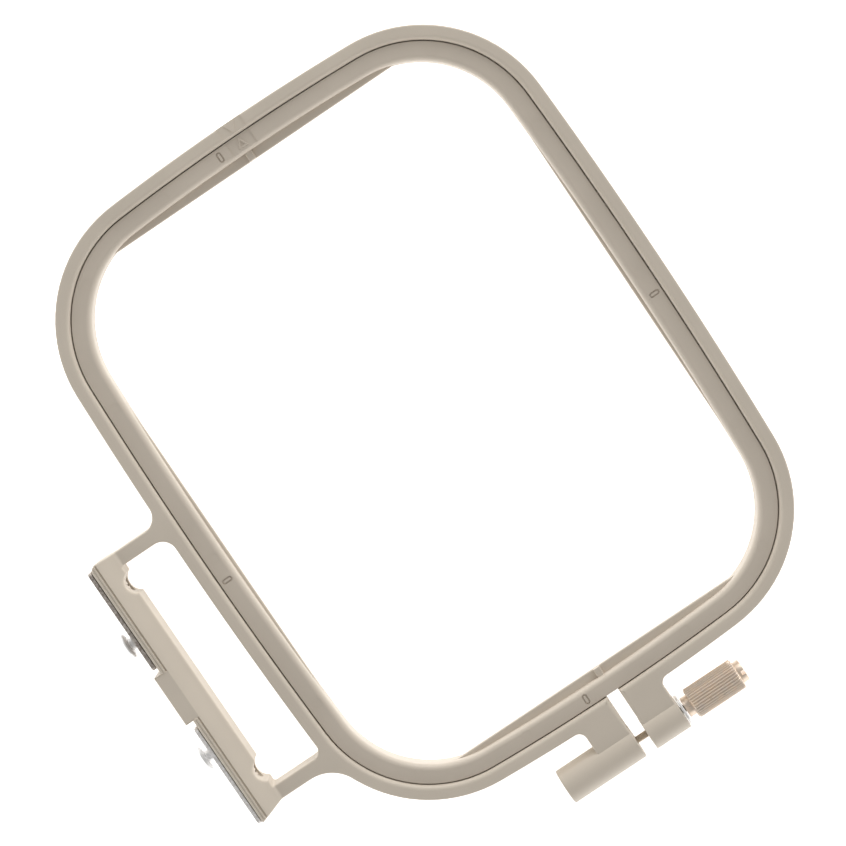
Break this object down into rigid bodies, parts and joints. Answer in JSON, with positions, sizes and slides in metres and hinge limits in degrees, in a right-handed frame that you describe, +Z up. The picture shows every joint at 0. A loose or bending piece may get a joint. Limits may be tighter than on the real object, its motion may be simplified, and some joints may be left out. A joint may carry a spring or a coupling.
{
  "type": "embroidery hoop",
  "caption": "Machine-embroidery hoop: split outer frame closed by a knurled clamp screw, lift-out inner frame, and a side bracket whose steel studs clip to the machine's carriage.",
  "frame": {"origin": "middle of the bounding box's underside, on the surface that the hoop lies on", "axes": "+X across the hoop, away from the bracket; +Y along its length, away from the clamp; +Z up, the way the inner frame lifts out"},
  "size_m": [0.237, 0.2725, 0.017],
  "materials": {
    "frame_plastic": "warm ivory moulded ABS, fine satin texture",
    "inner_plastic": "warm ivory moulded ABS, fine satin texture",
    "plate_steel": "stamped steel, rough sheared edges",
    "stud_zinc": "bright zinc plate",
    "knob_nickel": "nickel-plated brass, straight knurl",
    "screw_steel": "plain turned steel"
  },
  "bodies": {
    "outer_frame": {"outer_frame": "frame_plastic", "rear_mount_plate": "plate_steel", "front_mount_plate": "plate_steel", "rear_mount_stud": "stud_zinc", "front_mount_stud": "stud_zinc", "rear_plate_screw": "screw_steel", "front_plate_screw": "screw_steel", "clamp_nut": "knob_nickel"},
    "inner_frame": {"inner_frame": "inner_plastic"},
    "clamp_washer": {"clamp_washer": "stud_zinc"},
    "clamp_screw": {"clamp_knob": "knob_nickel", "clamp_shaft": "screw_steel"}
  },
  "joints": [
    {"name": "inner_frame_lift", "type": "slide", "parent": "outer_frame", "child": "inner_frame", "axis": [0, 0, 1], "range_m": [0, 0.03]},
    {"name": "clamp_travel", "type": "slide", "parent": "outer_frame", "child": "clamp_washer", "axis": [1, 0, 0], "range_m": [0, 0.004]},
    {"name": "clamp_turn", "type": "hinge", "parent": "clamp_washer", "child": "clamp_screw", "pos_m": [0.0178, -0.12948, 0.0068], "axis": [1, 0, 0], "range_deg": [0, 2880]}
  ],
  "couplings": [
    {"joint": "clamp_turn", "follows": "clamp_travel", "rad_per_m": 12566}
  ]
}
